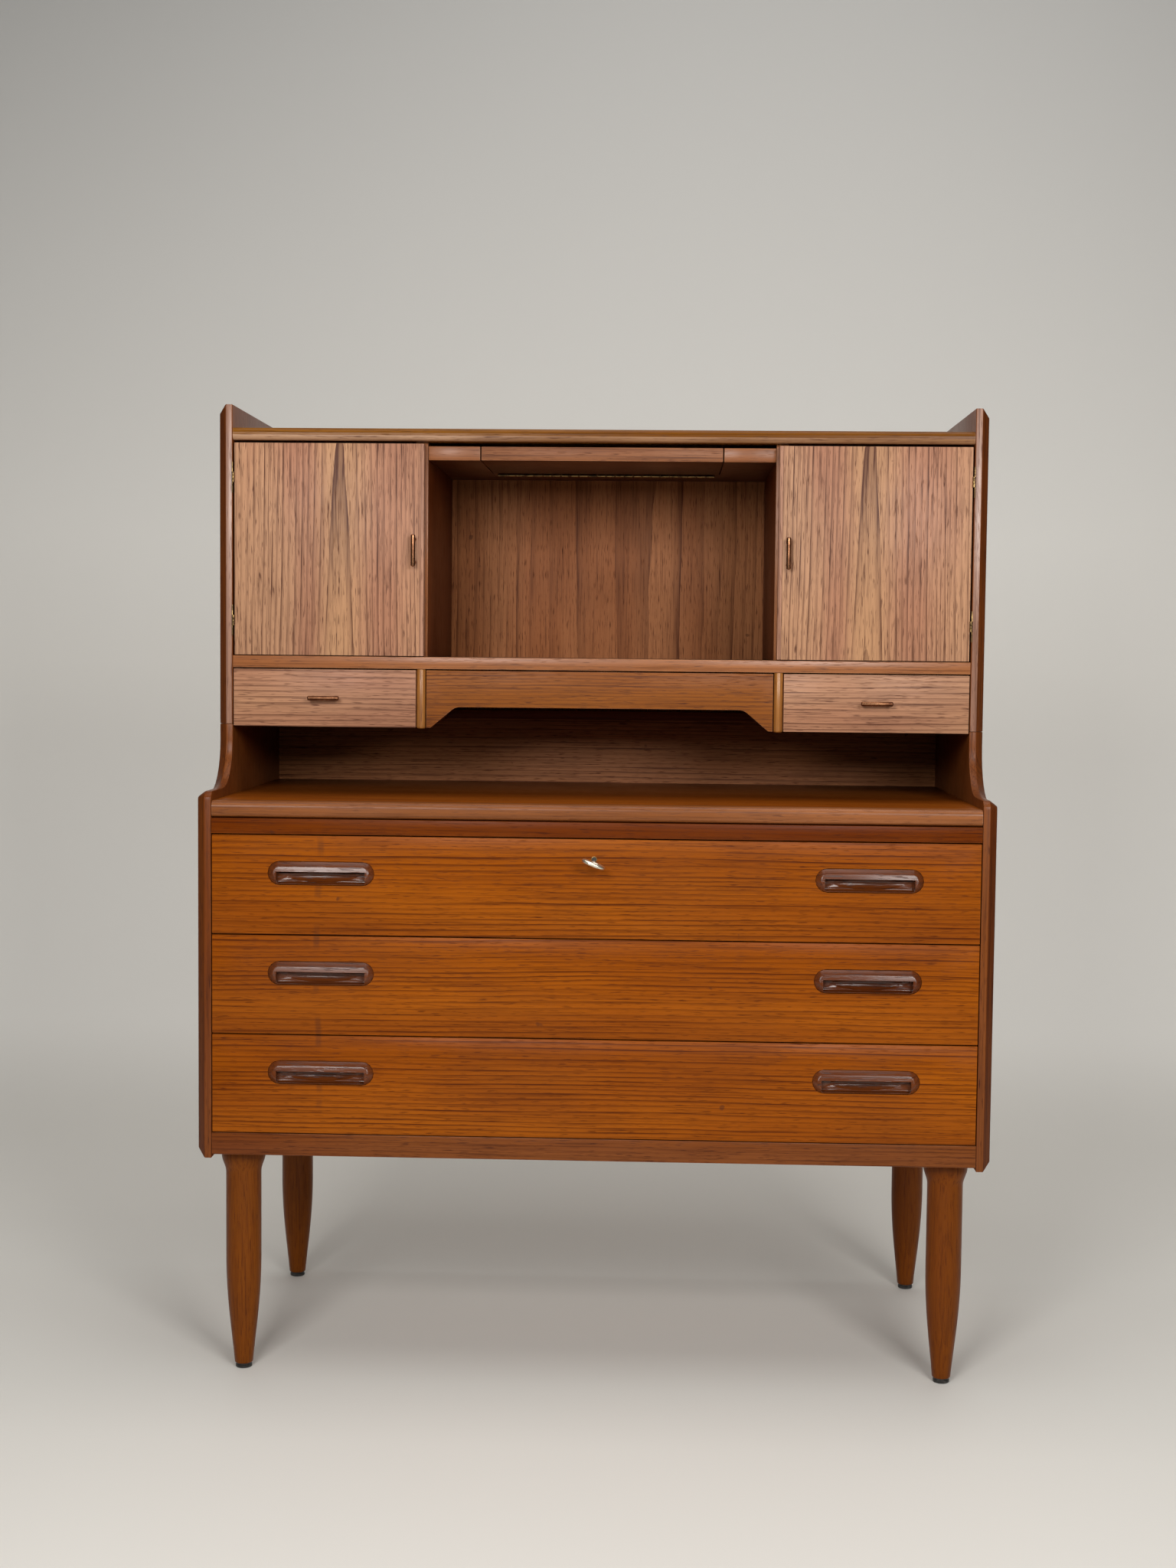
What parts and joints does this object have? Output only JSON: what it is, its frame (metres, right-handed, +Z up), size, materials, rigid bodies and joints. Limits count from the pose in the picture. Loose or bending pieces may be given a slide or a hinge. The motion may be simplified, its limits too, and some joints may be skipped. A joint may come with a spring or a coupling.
{
  "type": "secretary desk",
  "caption": "Secretary desk: chest of drawers on turned legs with a pull-out writing leaf and a set-back cabinet with doors, niche, mirror flap and small drawers.",
  "frame": {"origin": "on the floor, under the middle of the desk's bounding box", "axes": "+Z up, +X to the desk's right as seen from the front, +Y from the front to the back"},
  "size_m": [1, 0.519, 1.2502],
  "materials": {
    "batten_divider_left": "oiled teak",
    "batten_divider_right": "oiled teak",
    "bottom_board": "oiled teak",
    "cabinet_back": "oiled teak veneer",
    "cabinet_floor": "oiled teak veneer",
    "cabinet_side_left": "oiled teak",
    "cabinet_side_right": "oiled teak",
    "centre_drawer_box": "plain pale wood",
    "centre_drawer_front": "oiled teak veneer",
    "chest_back": "oiled teak veneer",
    "chest_side_left": "oiled teak",
    "chest_side_right": "oiled teak",
    "divider_left": "oiled teak",
    "divider_right": "oiled teak",
    "door_hinge_lower_left": "satin",
    "door_hinge_lower_right": "satin",
    "door_hinge_upper_left": "satin",
    "door_hinge_upper_right": "satin",
    "door_left": "oiled teak veneer",
    "door_pull_left": "polished",
    "door_pull_right": "polished",
    "door_right": "oiled teak veneer",
    "drawer_1_box": "plain pale wood",
    "drawer_1_front": "oiled teak veneer",
    "drawer_1_grip_left": "dark hardwood",
    "drawer_1_grip_right": "dark hardwood",
    "drawer_2_box": "plain pale wood",
    "drawer_2_front": "oiled teak veneer",
    "drawer_2_grip_left": "dark hardwood",
    "drawer_2_grip_right": "dark hardwood",
    "drawer_3_box": "plain pale wood",
    "drawer_3_front": "oiled teak veneer",
    "drawer_3_grip_left": "dark hardwood",
    "drawer_3_grip_right": "dark hardwood",
    "flap_hinge": "satin",
    "glide_front_left": "matt black",
    "glide_front_right": "matt black",
    "glide_rear_left": "matt black",
    "glide_rear_right": "matt black",
    "key": "satin",
    "leaf_bed": "oiled teak",
    "leg_front_left": "turned teak",
    "leg_front_right": "turned teak",
    "leg_rear_left": "turned teak",
    "leg_rear_right": "turned teak",
    "lock_bolt": "satin",
    "middle_shelf": "oiled teak veneer",
    "mirror": "silvered glass",
    "mirror_flap": "oiled teak veneer",
    "niche_ceiling": "oiled teak veneer",
    "runner_frame_1": "plain pale wood",
    "runner_frame_2": "plain pale wood",
    "small_drawer_left_box": "plain pale wood",
    "small_drawer_left_front": "oiled teak veneer",
    "small_drawer_right_box": "plain pale wood",
    "small_drawer_right_front": "oiled teak veneer",
    "small_pull_left": "polished",
    "small_pull_right": "polished",
    "top_board": "oiled teak",
    "writing_leaf": "oiled teak"
  },
  "bodies": {
    "case": {"batten_divider_left": "batten_divider_left", "batten_divider_right": "batten_divider_right", "bottom_board": "bottom_board", "cabinet_back": "cabinet_back", "cabinet_floor": "cabinet_floor", "cabinet_side_left": "cabinet_side_left", "cabinet_side_right": "cabinet_side_right", "chest_back": "chest_back", "chest_side_left": "chest_side_left", "chest_side_right": "chest_side_right", "divider_left": "divider_left", "divider_right": "divider_right", "door_hinge_lower_left": "door_hinge_lower_left", "door_hinge_lower_right": "door_hinge_lower_right", "door_hinge_upper_left": "door_hinge_upper_left", "door_hinge_upper_right": "door_hinge_upper_right", "flap_hinge": "flap_hinge", "glide_front_left": "glide_front_left", "glide_front_right": "glide_front_right", "glide_rear_left": "glide_rear_left", "glide_rear_right": "glide_rear_right", "leaf_bed": "leaf_bed", "leg_front_left": "leg_front_left", "leg_front_right": "leg_front_right", "leg_rear_left": "leg_rear_left", "leg_rear_right": "leg_rear_right", "middle_shelf": "middle_shelf", "niche_ceiling": "niche_ceiling", "runner_frame_1": "runner_frame_1", "runner_frame_2": "runner_frame_2", "top_board": "top_board"},
    "drawer_1": {"drawer_1_front": "drawer_1_front", "drawer_1_box": "drawer_1_box", "drawer_1_grip_left": "drawer_1_grip_left", "drawer_1_grip_right": "drawer_1_grip_right"},
    "drawer_2": {"drawer_2_front": "drawer_2_front", "drawer_2_box": "drawer_2_box", "drawer_2_grip_left": "drawer_2_grip_left", "drawer_2_grip_right": "drawer_2_grip_right"},
    "drawer_3": {"drawer_3_front": "drawer_3_front", "drawer_3_box": "drawer_3_box", "drawer_3_grip_left": "drawer_3_grip_left", "drawer_3_grip_right": "drawer_3_grip_right"},
    "key_body": {"key": "key"},
    "bolt_body": {"lock_bolt": "lock_bolt"},
    "leaf": {"writing_leaf": "writing_leaf"},
    "door_left_body": {"door_left": "door_left", "door_pull_left": "door_pull_left"},
    "small_drawer_left": {"small_drawer_left_front": "small_drawer_left_front", "small_drawer_left_box": "small_drawer_left_box", "small_pull_left": "small_pull_left"},
    "door_right_body": {"door_right": "door_right", "door_pull_right": "door_pull_right"},
    "small_drawer_right": {"small_drawer_right_front": "small_drawer_right_front", "small_drawer_right_box": "small_drawer_right_box", "small_pull_right": "small_pull_right"},
    "centre_drawer": {"centre_drawer_front": "centre_drawer_front", "centre_drawer_box": "centre_drawer_box"},
    "flap": {"mirror_flap": "mirror_flap", "mirror": "mirror"}
  },
  "joints": [
    {"name": "leaf_slide", "type": "slide", "parent": "case", "child": "leaf", "axis": [0, -1, 0], "range_m": [0, 0.23]},
    {"name": "drawer_1_slide", "type": "slide", "parent": "case", "child": "drawer_1", "axis": [0, -1, 0], "range_m": [0, 0.33]},
    {"name": "drawer_2_slide", "type": "slide", "parent": "case", "child": "drawer_2", "axis": [0, -1, 0], "range_m": [0, 0.33]},
    {"name": "drawer_3_slide", "type": "slide", "parent": "case", "child": "drawer_3", "axis": [0, -1, 0], "range_m": [0, 0.33]},
    {"name": "small_drawer_left_slide", "type": "slide", "parent": "case", "child": "small_drawer_left", "axis": [0, -1, 0], "range_m": [0, 0.2]},
    {"name": "small_drawer_right_slide", "type": "slide", "parent": "case", "child": "small_drawer_right", "axis": [0, -1, 0], "range_m": [0, 0.2]},
    {"name": "centre_drawer_slide", "type": "slide", "parent": "case", "child": "centre_drawer", "axis": [0, -1, 0], "range_m": [0, 0.2]},
    {"name": "door_left_hinge", "type": "hinge", "parent": "case", "child": "door_left_body", "pos_m": [-0.4807, -0.0897, 1.06], "axis": [0, 0, -1], "range_deg": [0, 110]},
    {"name": "door_right_hinge", "type": "hinge", "parent": "case", "child": "door_right_body", "pos_m": [0.4807, -0.0897, 1.06], "axis": [0, 0, 1], "range_deg": [0, 110]},
    {"name": "mirror_flap_hinge", "type": "hinge", "parent": "case", "child": "flap", "pos_m": [0, 0.1325, 1.179], "axis": [1, 0, 0], "range_deg": [0, 90]},
    {"name": "key_turn", "type": "hinge", "parent": "drawer_1", "child": "key_body", "pos_m": [0, -0.2305, 0.6706], "axis": [0, 1, 0], "range_deg": [0, 90]},
    {"name": "bolt_slide", "type": "slide", "parent": "drawer_1", "child": "bolt_body", "axis": [0, 0, 1], "range_m": [0, 0.008]}
  ],
  "couplings": [
    {"joint": "key_turn", "follows": "bolt_slide", "rad_per_m": 196.35}
  ]
}
